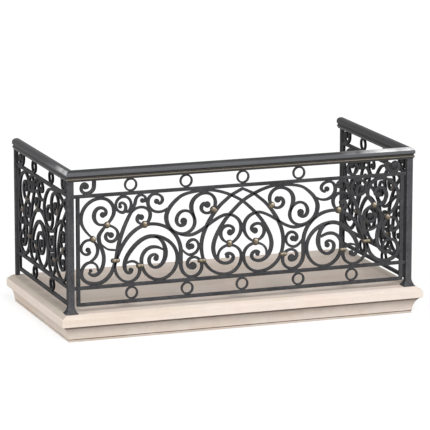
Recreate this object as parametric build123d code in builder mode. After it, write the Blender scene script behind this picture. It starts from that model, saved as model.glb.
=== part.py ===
"""Wrought iron balcony: a moulded stone slab with scrolled railings on three sides.

All sizes are in millimetres. X runs along the front (right is plus), the front
faces minus Y, the wall is the plane Y = 0 and Z = 0 is the underside of the slab.
"""
from build123d import *
from math import atan2, ceil, cos, degrees, hypot, radians, sin, sqrt, tan
import os

os.makedirs("parts", exist_ok=True)

# Plan of the railing
RAILING_WIDTH = 2722.0      # across the outer faces of the two front posts
RAILING_REACH = 1384.0      # from the wall to the front face of the front posts
POST = 48.0                 # side of a square front post
WALL_POST = 32.0            # side of a square post at the wall
FOOT_SPREAD = 24.0          # how far a forged foot flares past its post
FOOT_HEIGHT = 56.0
FOOT_EDGE = 4.0             # upright rim of the foot

# Heights above the top of the slab
BOTTOM_CLEARANCE = 50.0     # under the bottom rail
RING_BAND = 105.0           # clear height of both rows of rings
RAIL_HEIGHT = 20.0
SCROLL_FIELD = 662.0        # clear height between the lower and the upper rail

# Flat bars of the panels
RAIL_DEPTH = 24.0
STILE = 20.0                # width of an upright at the end of a panel
STILE_GAP = 28.0            # between an upright and its post
SCROLL_DEPTH = 16.0
RING_BAR = 12.0
RING_SIDES = 12
FRONT_RINGS = 5
SIDE_RINGS = 2
RING_PITCH = 438.0
SIDE_RING_PITCH = 434.0
HOOK_REACH = 161.0          # from the post to the end of a hook scroll

# Moulded handrail: heights are above the tops of the posts
HANDRAIL_HEIGHT = 85.0
FOOT_HALF = 23.0            # half width of the flat underside
BEAD_HALF = 34.0
BEAD_Z = 15.0
BEAD_HEIGHT = 9.0
BEAD_LEAN = 4.0             # rise of the sloped faces below and above the bead
NECK_HALF = 29.0
CAP_HALF = 36.0
CAP_Z = 42.0                # lower edge of the rounded cap
CAP_EDGE = 16.0             # upright side of the cap
CAP_LEAN = 6.0              # rise of the sloped face below the cap

# Stone slab, its cove moulding and its base course
SLAB_THICKNESS = 88.0
COVE_HEIGHT = 102.0
BASE_HEIGHT = 20.0
SLAB_LIP = 68.0             # how far each layer stands out past the posts
SLAB_TOP_LIP = 21.0
SLAB_SOFFIT_LIP = 50.0
EDGE_DROP = 27.0            # height of the rounded upper edge
DRIP_DROP = 6.0             # rise of the undercut below the upright face
COVE_FOOT_LIP = 6.0
BASE_LIP = 3.0

# Collars that bind neighbouring scrolls
BAND_WIDTH = 30.0           # collars round bars that stand side by side
KNOB_WIDTH = 42.0           # all other collars
COLLAR_DEPTH = 36.0
COLLAR_BEVEL = 9.0

# How finely round shapes are cut into flat facets
FACET_SAG = 8.0             # how far a facet of a scroll may leave the true curve
FACET_TURN = 60.0           # how far a scroll may bend from one facet to the next
ROUND_FACETS = 4            # facets in a quarter turn of a moulding
STRAIGHT_HANDLE = 0.4       # share of the distance that guides a stretch with no turn

RIGHT, UP, LEFT, DOWN = 0, 90, 180, 270

# Heights that follow
SLAB_TOP = BASE_HEIGHT + COVE_HEIGHT + SLAB_THICKNESS
BOTTOM_RAIL_Z = BOTTOM_CLEARANCE
LOWER_RAIL_Z = BOTTOM_RAIL_Z + RAIL_HEIGHT + RING_BAND
FIELD_Z = LOWER_RAIL_Z + RAIL_HEIGHT
UPPER_RAIL_Z = FIELD_Z + SCROLL_FIELD
UPPER_BAND_Z = UPPER_RAIL_Z + RAIL_HEIGHT
POST_HEIGHT = UPPER_BAND_Z + RING_BAND

# Plan that follows
HALF_WIDTH = RAILING_WIDTH / 2
POST_X = HALF_WIDTH - POST / 2
POST_Y = -RAILING_REACH + POST / 2
FRONT_LENGTH = RAILING_WIDTH - 2 * POST
SIDE_LENGTH = RAILING_REACH - POST - WALL_POST
STILE_INSET = STILE_GAP + STILE

# Panel planes: x runs along the panel from post to post, y runs up from the slab
FRONT = Plane(origin=(-HALF_WIDTH + POST, POST_Y, SLAB_TOP), x_dir=(1, 0, 0), z_dir=(0, -1, 0))
LEFT_SIDE = Plane(origin=(-POST_X, -RAILING_REACH + POST, SLAB_TOP), x_dir=(0, 1, 0), z_dir=(1, 0, 0))
RIGHT_SIDE = Plane(origin=(POST_X, -RAILING_REACH + POST, SLAB_TOP), x_dir=(0, 1, 0), z_dir=(1, 0, 0))
PANELS = {
    "front": (FRONT, FRONT_LENGTH),
    "left": (LEFT_SIDE, SIDE_LENGTH),
    "right": (RIGHT_SIDE, SIDE_LENGTH),
}

# Each scroll is drawn by the stations where its bar runs level, upright or at a
# given heading: along the panel from the middle, up from the lower rail, heading
# in degrees, width of the bar. A quarter of an ellipse joins one to the next.
OUTER_ARCH = [
    (-8, 651, 335, 18), (98, 599, 318, 20), (192, 517, 312, 22), (258, 429, 302, 26),
    (324, 236, DOWN, 24), (309, 136, 252, 20), (131, 9, LEFT, 18), (9, 136, UP, 20),
    (104, 227, RIGHT, 16), (192, 151, DOWN, 12), (190, 127, 265, 10),
]
INNER_ARCH = [
    (0, 554, 326, 20), (98, 464, 315, 22), (182, 354, 300, 24), (231, 217, DOWN, 28),
    (131, 91, LEFT, 20), (72, 132, UP, 22), (109, 165, RIGHT, 20), (134, 148, DOWN, 18),
]
GREAT_ARC = [
    (0, 554, 34, 20), (98, 608, 24, 20), (286, 654, RIGHT, 16), (493, 618, 325, 20),
    (598, 472, DOWN, 30), (465, 339, LEFT, 18), (375, 424, UP, 22), (455, 512, RIGHT, 16),
    (518, 443, DOWN, 24), (481, 401, LEFT, 20), (448, 429, UP, 22),
]
SHOULDER = [
    (291, 557, RIGHT, 24), (325, 523, DOWN, 24), (277, 481, LEFT, 16), (214, 557, UP, 22),
    (295, 634, RIGHT, 18), (403, 538, DOWN, 30), (378, 434, DOWN, 12),
]
HEART_TOP = [
    (88, 311, 120, 18), (70, 339, UP, 20), (117, 375, RIGHT, 18), (173, 321, DOWN, 24),
    (112, 247, 190, 12),
]
HEART_SIDE = [
    (104, 234, 160, 12), (11, 354, UP, 24), (126, 460, RIGHT, 18), (286, 382, 325, 20),
    (418, 325, RIGHT, 20), (507, 342, 25, 10),
]
WHEEL_RIM = [
    (399, 75, RIGHT, 20), (434, 113, UP, 20), (385, 157, LEFT, 16), (320, 85, DOWN, 20),
    (399, 9, RIGHT, 18), (486, 113, UP, 26), (485, 207, UP, 26), (719, 431, RIGHT, 20),
    (861, 377, 320, 24), (984, 188, 290, 22), (999, 141, DOWN, 20), (890, 9, LEFT, 14),
    (805, 94, UP, 22), (866, 162, RIGHT, 14), (913, 146, 320, 10),
]
WHEEL = [
    (624, 231, 40, 12), (700, 258, RIGHT, 22), (792, 160, DOWN, 24), (653, 9, LEFT, 18),
    (512, 160, UP, 22), (719, 339, RIGHT, 26), (847, 273, 315, 28), (923, 132, DOWN, 26),
    (887, 75, LEFT, 18), (866, 94, UP, 18),
]
WHEEL_HEART = [
    (704, 337, LEFT, 14), (604, 207, DOWN, 32), (681, 102, RIGHT, 18), (733, 160, UP, 24),
    (690, 201, LEFT, 16), (665, 174, DOWN, 18),
]
BUD = [
    (482, 231, 235, 10), (413, 176, LEFT, 18), (346, 236, UP, 14), (389, 290, RIGHT, 18),
    (435, 245, DOWN, 20), (410, 221, LEFT, 16),
]
INNER_CREST = [
    (585, 542, 315, 12), (653, 517, RIGHT, 16), (740, 594, UP, 24), (690, 653, LEFT, 14),
    (626, 608, DOWN, 20), (662, 577, RIGHT, 16),
]
STEM = [
    (772, 599, 150, 14), (756, 623, UP, 16), (796, 653, RIGHT, 14), (836, 608, 275, 20),
    (871, 528, 300, 20), (927, 415, 292, 24), (965, 302, 285, 26), (988, 179, 278, 24),
    (1012, 113, 290, 22), (1144, 13, RIGHT, 26), (1254, 94, UP, 22), (1186, 177, LEFT, 16),
    (1128, 122, DOWN, 12), (1128, 108, DOWN, 10),
]
LEAF = [
    (800, 505, RIGHT, 20), (824, 472, DOWN, 22), (777, 432, 190, 12), (722, 505, UP, 24),
    (796, 563, RIGHT, 16), (871, 521, 305, 10),
]
OUTER_CREST = [
    (907, 530, 165, 12), (869, 590, UP, 16), (927, 651, RIGHT, 18), (987, 590, DOWN, 14),
    (932, 532, LEFT, 20), (910, 566, UP, 20), (940, 606, RIGHT, 16), (960, 585, DOWN, 16),
]
CORNER_SWEEP = [
    (1167, 358, 40, 12), (1254, 500, UP, 22), (1106, 650, LEFT, 20), (1001, 547, DOWN, 26),
    (1054, 453, 315, 14), (1120, 363, DOWN, 28), (1081, 198, DOWN, 24), (1158, 78, RIGHT, 22),
    (1195, 105, UP, 16),
]
CORNER_PAIR = [
    (1078, 519, 170, 18), (1061, 542, UP, 20), (1106, 580, RIGHT, 20), (1155, 519, DOWN, 28),
    (1097, 451, LEFT, 14), (972, 377, DOWN, 18), (1021, 321, RIGHT, 20), (1067, 361, UP, 22),
    (1040, 389, LEFT, 16),
]
BRANCH = [(1106, 311, 225, 12), (1040, 262, 190, 12), (988, 256, LEFT, 12)]
SIDE_SHOOT = [
    (1186, 264, DOWN, 18), (1211, 237, RIGHT, 16), (1255, 283, UP, 16), (1195, 345, LEFT, 14),
    (1128, 264, DOWN, 20), (1167, 193, 325, 16), (1192, 178, 340, 12),
]

# Forged eyes where a scroll ends: along, up, radius
EYES = {
    "arches": [(119, 143, 16), (462, 434, 26)],
    "heart": [(278, 545, 25), (98, 322, 24), (401, 240, 22)],
    "wheel": [(391, 91, 29), (873, 96, 18), (678, 169, 20)],
    "crest": [(672, 597, 20), (782, 611, 18), (792, 487, 22), (954, 577, 14)],
    "corner": [(1183, 115, 13), (1087, 525, 22), (1025, 370, 22), (1202, 271, 19)],
}
SCROLLS = {
    "arches": [OUTER_ARCH, INNER_ARCH, GREAT_ARC],
    "heart": [SHOULDER, HEART_TOP, HEART_SIDE, BUD],
    "wheel": [WHEEL_RIM, WHEEL, WHEEL_HEART],
    "crest": [INNER_CREST, STEM, LEAF, OUTER_CREST],
    "corner": [CORNER_SWEEP, CORNER_PAIR, BRANCH, SIDE_SHOOT],
}
EYE_SIDES = 6

# The field that the scrolls were drawn in, from the middle out and from the rail up
BARS = [station for group in SCROLLS.values() for stations in group for station in stations]
DRAWN_HALF_WIDTH = max(x + width / 2 for x, y, heading, width in BARS)
DRAWN_HEIGHT = max(y + width / 2 for x, y, heading, width in BARS)

# Collars: along, up, heading of the bound bars, length across them
COLLARS = [
    (1054, 448, 330, 44), (1165, 349, 225, 42), (766, 431, 0, 48), (993, 177, 90, 66),
    (803, 125, 90, 56), (321, 127, 90, 62), (227, 503, 130, 54), (104, 238, 0, 52),
]

# Hook scroll in the upper band: in from the post, up from the rail
HOOK = [
    (161, 105, DOWN, 27), (160, 62, DOWN, 27), (104, 11, LEFT, 22), (62, 48, UP, 20),
    (88, 84, RIGHT, 20), (110, 62, DOWN, 20), (98, 48, 200, 16),
]


def handle_lengths(start, start_heading, end, end_heading):
    """Lengths of the two Bezier handles that give an arc close to an ellipse."""
    ax, ay = cos(radians(start_heading)), sin(radians(start_heading))
    bx, by = cos(radians(end_heading)), sin(radians(end_heading))
    dx, dy = end[0] - start[0], end[1] - start[1]
    turn = abs((end_heading - start_heading + 180) % 360 - 180)
    cross = ax * by - ay * bx
    if turn > 1 and abs(cross) > 1e-6:
        to_corner = (dx * by - dy * bx) / cross
        from_corner = (ax * dy - ay * dx) / cross
        if to_corner > 0 and from_corner > 0:
            share = 4 / 3 * tan(radians(turn) / 4) / tan(radians(turn) / 2)
            return share * to_corner, share * from_corner
    reach = STRAIGHT_HANDLE * hypot(dx, dy)
    return reach, reach


def stretched(heading, stretch_x, stretch_y):
    return degrees(atan2(sin(radians(heading)) * stretch_y, cos(radians(heading)) * stretch_x))


def bar_sides(stations, stretch_x, stretch_y):
    """Left and right edge points of a bar whose width changes evenly between stations."""
    sides = []
    for first, second in zip(stations, stations[1:]):
        start = (first[0] * stretch_x, first[1] * stretch_y)
        end = (second[0] * stretch_x, second[1] * stretch_y)
        start_heading = stretched(first[2], stretch_x, stretch_y)
        end_heading = stretched(second[2], stretch_x, stretch_y)
        out, back = handle_lengths(start, start_heading, end, end_heading)
        a, b = radians(start_heading), radians(end_heading)
        p1 = (start[0] + out * cos(a), start[1] + out * sin(a))
        p2 = (end[0] - back * cos(b), end[1] - back * sin(b))
        turn = abs((end_heading - start_heading + 180) % 360 - 180)
        chord = hypot(end[0] - start[0], end[1] - start[1])
        by_sag = ceil(sqrt(chord * radians(turn) / (8 * FACET_SAG)))
        steps = max(2 if turn < 1 else 1, by_sag, ceil(turn / FACET_TURN))
        for i in range(0 if first is stations[0] else 1, steps + 1):
            t = i / steps
            s = 1 - t
            x = s ** 3 * start[0] + 3 * s * s * t * p1[0] + 3 * s * t * t * p2[0] + t ** 3 * end[0]
            y = s ** 3 * start[1] + 3 * s * s * t * p1[1] + 3 * s * t * t * p2[1] + t ** 3 * end[1]
            dx = s * s * (p1[0] - start[0]) + 2 * s * t * (p2[0] - p1[0]) + t * t * (end[0] - p2[0])
            dy = s * s * (p1[1] - start[1]) + 2 * s * t * (p2[1] - p1[1]) + t * t * (end[1] - p2[1])
            half = (s * first[3] + t * second[3]) / 2 / hypot(dx, dy)
            sides.append(((x - dy * half, y + dx * half), (x + dy * half, y - dx * half)))
    return sides


def bar_figure(stations, stretch_x, stretch_y):
    """Flat figure of a bar, laid facet by facet so that a tight curl never folds over."""
    sides = bar_sides(stations, stretch_x, stretch_y)
    facets = []
    with BuildSketch() as figure:
        for near, far in zip(sides, sides[1:]):
            corners = [*near, *far]
            x = sum(corner[0] for corner in corners) / len(corners)
            y = sum(corner[1] for corner in corners) / len(corners)
            corners.sort(key=lambda corner: atan2(corner[1] - y, corner[0] - x))
            with BuildLine():
                Polyline(*corners, close=True)
            facets.append(make_face(mode=Mode.PRIVATE))
        add(facets)
    return figure.sketch


def scroll_group(name, stretch_x, stretch_y):
    """Flat figure of one group of scrolls, fused where its bars meet."""
    with BuildSketch() as figure:
        for stations in SCROLLS[name]:
            add(bar_figure(stations, stretch_x, stretch_y))
        for x, y, radius in EYES[name]:
            with Locations((x * stretch_x, y * stretch_y)):
                RegularPolygon(radius, EYE_SIDES)
    return figure.sketch


def panel_scrolls(names, half_width, mirrored):
    """Figures of the named groups, each cut back to the bars of those before it."""
    stretch_x = half_width / DRAWN_HALF_WIDTH
    stretch_y = SCROLL_FIELD / DRAWN_HEIGHT
    figures = []
    for group in names:
        with BuildSketch() as figure:
            for name in group:
                add(scroll_group(name, stretch_x, stretch_y))
            if mirrored:
                mirror(about=Plane.YZ)
            for earlier in figures:
                add(earlier, mode=Mode.SUBTRACT)
            with Locations((half_width / 2 if not mirrored else 0, SCROLL_FIELD / 2)):
                field = half_width if not mirrored else 2 * half_width
                Rectangle(field, SCROLL_FIELD, mode=Mode.INTERSECT)
        figures.append(figure.sketch)
    return figures


def quarter_round(centre, out, up):
    """Points of a quarter of an ellipse, from straight out of its centre to straight above it."""
    points = []
    for i in range(ROUND_FACETS + 1):
        angle = radians(90 * i / ROUND_FACETS)
        points.append((centre[0] + out * cos(angle), centre[1] + up * sin(angle)))
    return points


def hollow(foot, spread, rise):
    """Points of a round hollow that starts upright at its foot and leans out to its upper edge."""
    radius = (spread**2 + rise**2) / 2 / spread
    sweep = 2 * atan2(spread, rise)
    points = []
    for i in range(ROUND_FACETS + 1):
        angle = sweep * i / ROUND_FACETS
        points.append((foot[0] + radius * (1 - cos(angle)), foot[1] + radius * sin(angle)))
    return points


def save(piece, node):
    piece.part.label = node
    export_step(piece.part, f"parts/{node}.step")


# Stone: each layer is the front profile and the side profile, run through each
# other, so the mouldings turn the corners in a mitre and stop plain at the wall
SLAB_EDGE = quarter_round((SLAB_TOP_LIP, SLAB_TOP - EDGE_DROP), SLAB_LIP - SLAB_TOP_LIP, EDGE_DROP)[::-1]
SLAB_EDGE += [(SLAB_LIP, SLAB_TOP - SLAB_THICKNESS + DRIP_DROP), (SLAB_SOFFIT_LIP, SLAB_TOP - SLAB_THICKNESS)]
COVE_EDGE = hollow((COVE_FOOT_LIP, BASE_HEIGHT), SLAB_SOFFIT_LIP - COVE_FOOT_LIP, COVE_HEIGHT)
BASE_EDGE = [(COVE_FOOT_LIP, BASE_HEIGHT), (BASE_LIP, 0)]


def stone_layer(edge):
    front = [(-RAILING_REACH - lip, z) for lip, z in edge]
    side = [(HALF_WIDTH + lip, z) for lip, z in edge]
    reach = 2 * (RAILING_WIDTH + RAILING_REACH)
    with BuildPart() as block:
        with BuildSketch(Plane.YZ):
            with BuildLine():
                Polyline((0, edge[0][1]), *front, (0, edge[-1][1]), close=True)
            make_face()
        extrude(amount=reach, both=True)
        with BuildSketch(Plane.XZ):
            with BuildLine():
                Polyline(*side, *[(-x, z) for x, z in reversed(side)], close=True)
            make_face()
        extrude(amount=reach, both=True, mode=Mode.INTERSECT)
    return block


for edge, node in ((SLAB_EDGE, "floor_slab"), (COVE_EDGE, "cove_moulding"), (BASE_EDGE, "base_course")):
    save(stone_layer(edge), node)

# Posts: the flare of a foot is the same profile run through itself both ways
flare = quarter_round((POST / 2 + FOOT_SPREAD, FOOT_HEIGHT), -FOOT_SPREAD, FOOT_EDGE - FOOT_HEIGHT)
foot_profile = [(POST / 2 + FOOT_SPREAD, 0)] + flare[::-1] + [(POST / 2, POST_HEIGHT)]
for x, node in ((-POST_X, "post_front_left"), (POST_X, "post_front_right")):
    with BuildPart() as post:
        for plane, mode in ((Plane.XZ, Mode.ADD), (Plane.YZ, Mode.INTERSECT)):
            with BuildSketch(Plane((x, POST_Y, SLAB_TOP), plane.x_dir, plane.z_dir)):
                with BuildLine():
                    Polyline(*foot_profile, *[(-u, z) for u, z in reversed(foot_profile)], close=True)
                make_face()
            extrude(amount=POST / 2 + FOOT_SPREAD, both=True, mode=mode)
    save(post, node)

for side, node in ((-1, "wall_post_left"), (1, "wall_post_right")):
    with BuildPart() as wall_post:
        with BuildSketch(Plane.XY.offset(SLAB_TOP)):
            with Locations((side * (HALF_WIDTH - WALL_POST / 2), -WALL_POST / 2)):
                Rectangle(WALL_POST, WALL_POST)
        extrude(amount=POST_HEIGHT)
    save(wall_post, node)

# Handrail: out from its centre line, up from the tops of the posts
half_profile = [
    (FOOT_HALF, 0),
    (NECK_HALF, BEAD_Z - BEAD_LEAN),
    (BEAD_HALF, BEAD_Z),
    (BEAD_HALF, BEAD_Z + BEAD_HEIGHT),
    (NECK_HALF, BEAD_Z + BEAD_HEIGHT + BEAD_LEAN),
    (NECK_HALF, CAP_Z - CAP_LEAN),
    (CAP_HALF, CAP_Z),
]
half_profile += quarter_round((0, CAP_Z + CAP_EDGE), CAP_HALF, HANDRAIL_HEIGHT - CAP_Z - CAP_EDGE)
handrail_outline = half_profile + [(-u, z) for u, z in reversed(half_profile[:-1])]
RAIL_Z = SLAB_TOP + POST_HEIGHT
MITRE_LEFT = Plane(origin=(-POST_X, POST_Y, RAIL_Z), z_dir=(1, -1, 0))
MITRE_RIGHT = Plane(origin=(POST_X, POST_Y, RAIL_Z), z_dir=(-1, -1, 0))

with BuildPart() as handrail_front:
    with BuildSketch(Plane(origin=(0, POST_Y, RAIL_Z), x_dir=(0, 1, 0), z_dir=(1, 0, 0))):
        with BuildLine():
            Polyline(*handrail_outline, close=True)
        make_face()
    extrude(amount=POST_X + CAP_HALF, both=True)
    split(bisect_by=MITRE_LEFT, keep=Keep.TOP)
    split(bisect_by=MITRE_RIGHT, keep=Keep.TOP)
save(handrail_front, "handrail_front")

for side, mitre, node in ((-1, MITRE_LEFT, "handrail_left"), (1, MITRE_RIGHT, "handrail_right")):
    with BuildPart() as handrail_side:
        with BuildSketch(Plane(origin=(side * POST_X, 0, RAIL_Z), x_dir=(1, 0, 0), z_dir=(0, -1, 0))):
            with BuildLine():
                Polyline(*handrail_outline, close=True)
            make_face()
        extrude(amount=-POST_Y + CAP_HALF)
        split(bisect_by=mitre, keep=Keep.BOTTOM)
    save(handrail_side, node)


def flat_bars(plane, depth, boxes):
    """Bars of one depth, centred in a panel: each box is x from, x to, y from, y to."""
    with BuildPart() as bars:
        with BuildSketch(plane):
            for x0, x1, y0, y1 in boxes:
                with Locations(((x0 + x1) / 2, (y0 + y1) / 2)):
                    Rectangle(x1 - x0, y1 - y0)
        extrude(amount=depth / 2, both=True)
    return bars


for name, (plane, length) in PANELS.items():
    inner = length - STILE_INSET
    upper = (UPPER_RAIL_Z, UPPER_RAIL_Z + RAIL_HEIGHT)
    lower = (LOWER_RAIL_Z, LOWER_RAIL_Z + RAIL_HEIGHT)
    bottom = (BOTTOM_RAIL_Z, BOTTOM_RAIL_Z + RAIL_HEIGHT)
    stile = (BOTTOM_RAIL_Z, UPPER_RAIL_Z)
    save(flat_bars(plane, RAIL_DEPTH, [(0, length, *upper)]), f"upper_rail_{name}")
    stubs = [(0, STILE_GAP, *lower), (STILE_INSET, inner, *lower), (length - STILE_GAP, length, *lower)]
    save(flat_bars(plane, RAIL_DEPTH, stubs), f"lower_rail_{name}")
    save(flat_bars(plane, RAIL_DEPTH, [(STILE_INSET, inner, *bottom)]), f"bottom_rail_{name}")
    stiles = [(STILE_GAP, STILE_INSET, *stile), (inner, length - STILE_GAP, *stile)]
    save(flat_bars(plane, RAIL_DEPTH, stiles), f"stiles_{name}")

    count = FRONT_RINGS if name == "front" else SIDE_RINGS
    pitch = RING_PITCH if name == "front" else SIDE_RING_PITCH
    for base, node in ((UPPER_BAND_Z, "upper_rings"), (BOTTOM_RAIL_Z + RAIL_HEIGHT, "lower_rings")):
        with BuildPart() as rings:
            with BuildSketch(plane):
                with Locations((length / 2, base + RING_BAND / 2)):
                    with GridLocations(pitch, 0, count, 1):
                        RegularPolygon(RING_BAND / 2, RING_SIDES)
                        RegularPolygon(RING_BAND / 2 - RING_BAR, RING_SIDES, mode=Mode.SUBTRACT)
            extrude(amount=SCROLL_DEPTH / 2, both=True)
        save(rings, f"{node}_{name}")

    hook = bar_figure(HOOK, HOOK_REACH / HOOK[0][0], RING_BAND / HOOK[0][1])
    with BuildPart() as hooks:
        with BuildSketch(plane):
            with Locations((0, UPPER_BAND_Z)):
                add(hook)
            with Locations((length, UPPER_BAND_Z)):
                add(hook.mirror(Plane.YZ))
        extrude(amount=SCROLL_DEPTH / 2, both=True)
    save(hooks, f"hook_scrolls_{name}")

# Scrollwork
front_half = FRONT_LENGTH / 2 - STILE_INSET
side_half = SIDE_LENGTH - 2 * STILE_INSET
FRONT_GROUPS = [["arches"], ["wheel"], ["crest"], ["heart"], ["corner"]]
SIDE_GROUPS = [["arches", "heart"], ["wheel", "crest"], ["corner"]]
FRONT_NODES = ["arch_scrolls_front", "wheel_scrolls_front", "crest_scrolls_front", "heart_scrolls_front",
               "corner_scrolls_front"]
front_figures = panel_scrolls(FRONT_GROUPS, front_half, True)
side_figures = panel_scrolls(SIDE_GROUPS, side_half, False)


def scroll_nodes(plane, start, figures, nodes):
    for figure, node in zip(figures, nodes):
        with BuildPart() as scrolls:
            with BuildSketch(plane):
                with Locations((start, FIELD_Z)):
                    add(figure)
            extrude(amount=SCROLL_DEPTH / 2, both=True)
        save(scrolls, node)


def collar_node(plane, start, half_width, signs, figures, node):
    """Bevelled bands round the joints, hollowed by the bars that pass through them."""
    stretch_x = half_width / DRAWN_HALF_WIDTH
    stretch_y = SCROLL_FIELD / DRAWN_HEIGHT
    with BuildPart() as collars:
        for x, y, heading, across in COLLARS:
            for sign in signs:
                place = Location((start + sign * x * stretch_x, FIELD_Z + y * stretch_y, 0), (0, 0, sign * heading))
                along = Plane(plane.location * place)
                with BuildSketch(Plane(origin=along.origin, x_dir=along.y_dir, z_dir=along.x_dir)) as section:
                    Rectangle(across, COLLAR_DEPTH)
                    chamfer(section.vertices(), COLLAR_BEVEL)
                extrude(amount=(BAND_WIDTH if heading == UP else KNOB_WIDTH) / 2, both=True)
        with BuildSketch(plane):
            for figure in figures:
                with Locations((start, FIELD_Z)):
                    add(figure)
        extrude(amount=SCROLL_DEPTH / 2, both=True, mode=Mode.SUBTRACT)
    save(collars, node)


scroll_nodes(FRONT, FRONT_LENGTH / 2, front_figures, FRONT_NODES)
collar_node(FRONT, FRONT_LENGTH / 2, front_half, (-1, 1), front_figures, "collars_front")
for name in ("left", "right"):
    plane = PANELS[name][0]
    nodes = [f"arch_scrolls_{name}", f"wheel_scrolls_{name}", f"corner_scrolls_{name}"]
    scroll_nodes(plane, STILE_INSET, side_figures, nodes)
    collar_node(plane, STILE_INSET, side_half, (1,), side_figures, f"collars_{name}")
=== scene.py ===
import math

import bpy
import numpy as np
from mathutils import Matrix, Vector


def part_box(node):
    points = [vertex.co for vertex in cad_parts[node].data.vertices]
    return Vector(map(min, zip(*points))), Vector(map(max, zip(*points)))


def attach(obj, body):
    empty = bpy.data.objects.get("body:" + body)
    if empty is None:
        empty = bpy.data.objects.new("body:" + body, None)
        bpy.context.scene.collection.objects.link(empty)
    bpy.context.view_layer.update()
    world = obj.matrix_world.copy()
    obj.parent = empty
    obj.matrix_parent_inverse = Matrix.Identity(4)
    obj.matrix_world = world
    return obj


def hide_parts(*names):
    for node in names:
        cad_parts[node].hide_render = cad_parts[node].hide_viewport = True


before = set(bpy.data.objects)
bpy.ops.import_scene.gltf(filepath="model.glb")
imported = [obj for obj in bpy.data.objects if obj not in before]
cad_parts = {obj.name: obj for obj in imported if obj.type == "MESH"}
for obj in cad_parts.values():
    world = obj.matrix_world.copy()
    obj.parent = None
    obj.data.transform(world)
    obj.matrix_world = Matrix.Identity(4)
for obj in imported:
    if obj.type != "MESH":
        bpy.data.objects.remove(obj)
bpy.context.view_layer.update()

bl_info = {
    "name": "Wrought iron balcony",
    "version": (1, 0, 0),
    "blender": (4, 5, 0),
    "location": "3D View > Sidebar > Balcony",
    "description": "Forged railings with bronze collars on a moulded stone slab",
    "category": "Add Mesh",
}

MM = 0.001
SIDES = ("front", "left", "right")
# Painted shade: the share of lit graphite on the broad faces; the panels that look sideways are painted
# darker
PANEL_LIGHT = {"front": 1.0, "left": 0.4, "right": 0.4}
# Hammering spreads a bar past its drawn width, and a rail past its drawn edges, above and below
SPREAD = 3.2 * MM
RAIL_SWELL = {"upper": (1 * MM, 4 * MM), "lower": (4 * MM, 1.5 * MM), "bottom": (3 * MM, 2 * MM)}
STILE_SWELL = 7 * MM
# The smith set the front rings by eye: millimetres along from an even spacing
RING_SHIFTS = {"upper": (4, -5, 2, 8, 0), "lower": (8, 2, -3, 8, 1)}
RIGHT, UP, LEFT, DOWN = 0, 90, 180, 270

# Each scroll is drawn by the stations where its bar runs level, upright or at a
# given heading: millimetres from the middle, millimetres up from the lower rail,
# heading in degrees, width of the bar. A quarter of an ellipse joins one to the next.
OUTER_ARCH = [
    (-8, 651, 335, 18), (98, 599, 318, 20), (192, 517, 312, 22), (258, 429, 302, 26),
    (324, 236, DOWN, 24), (309, 136, 252, 20), (131, 9, LEFT, 18), (9, 136, UP, 20),
    (104, 227, RIGHT, 16), (192, 151, DOWN, 12), (190, 127, 265, 10),
]
INNER_ARCH = [
    (0, 554, 326, 20), (98, 464, 315, 22), (182, 354, 300, 24), (231, 217, DOWN, 28),
    (131, 91, LEFT, 20), (72, 132, UP, 22), (109, 165, RIGHT, 20), (134, 148, DOWN, 18),
]
GREAT_ARC = [
    (0, 554, 34, 20), (98, 608, 24, 20), (286, 654, RIGHT, 16), (493, 618, 325, 20),
    (598, 472, DOWN, 30), (465, 339, LEFT, 18), (375, 424, UP, 22), (455, 512, RIGHT, 16),
    (518, 443, DOWN, 24), (481, 401, LEFT, 20), (448, 429, UP, 22),
]
SHOULDER = [
    (291, 557, RIGHT, 24), (325, 523, DOWN, 24), (277, 481, LEFT, 16), (214, 557, UP, 22),
    (295, 634, RIGHT, 18), (403, 538, DOWN, 30), (378, 434, DOWN, 12),
]
HEART_TOP = [
    (88, 311, 120, 18), (70, 339, UP, 20), (117, 375, RIGHT, 18), (173, 321, DOWN, 24),
    (112, 247, 190, 12),
]
HEART_SIDE = [
    (104, 234, 160, 12), (11, 354, UP, 24), (126, 460, RIGHT, 18), (286, 382, 325, 20),
    (418, 325, RIGHT, 20), (507, 342, 25, 10),
]
BUD = [
    (482, 231, 235, 10), (413, 176, LEFT, 18), (346, 236, UP, 14), (389, 290, RIGHT, 18),
    (435, 245, DOWN, 20), (410, 221, LEFT, 16),
]
WHEEL_RIM = [
    (399, 75, RIGHT, 20), (434, 113, UP, 20), (385, 157, LEFT, 16), (320, 85, DOWN, 20),
    (399, 9, RIGHT, 18), (486, 113, UP, 26), (485, 207, UP, 26), (719, 431, RIGHT, 20),
    (861, 377, 320, 24), (984, 188, 290, 22), (999, 141, DOWN, 20), (890, 9, LEFT, 14),
    (805, 94, UP, 22), (866, 162, RIGHT, 14), (913, 146, 320, 10),
]
WHEEL = [
    (624, 231, 40, 12), (700, 258, RIGHT, 22), (792, 160, DOWN, 24), (653, 9, LEFT, 18),
    (512, 160, UP, 22), (719, 339, RIGHT, 26), (847, 273, 315, 28), (923, 132, DOWN, 26),
    (887, 75, LEFT, 18), (866, 94, UP, 18),
]
WHEEL_HEART = [
    (704, 337, LEFT, 14), (604, 207, DOWN, 32), (681, 102, RIGHT, 18), (733, 160, UP, 24),
    (690, 201, LEFT, 16), (665, 174, DOWN, 18),
]
INNER_CREST = [
    (585, 542, 315, 12), (653, 517, RIGHT, 16), (740, 594, UP, 24), (690, 653, LEFT, 14),
    (626, 608, DOWN, 20), (662, 577, RIGHT, 16),
]
STEM = [
    (772, 599, 150, 14), (756, 623, UP, 16), (796, 653, RIGHT, 14), (836, 608, 275, 20),
    (871, 528, 300, 20), (927, 415, 292, 24), (965, 302, 285, 26), (988, 179, 278, 24),
    (1012, 113, 290, 22), (1144, 13, RIGHT, 26), (1254, 94, UP, 22), (1186, 177, LEFT, 16),
    (1128, 122, DOWN, 12), (1128, 108, DOWN, 10),
]
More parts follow.
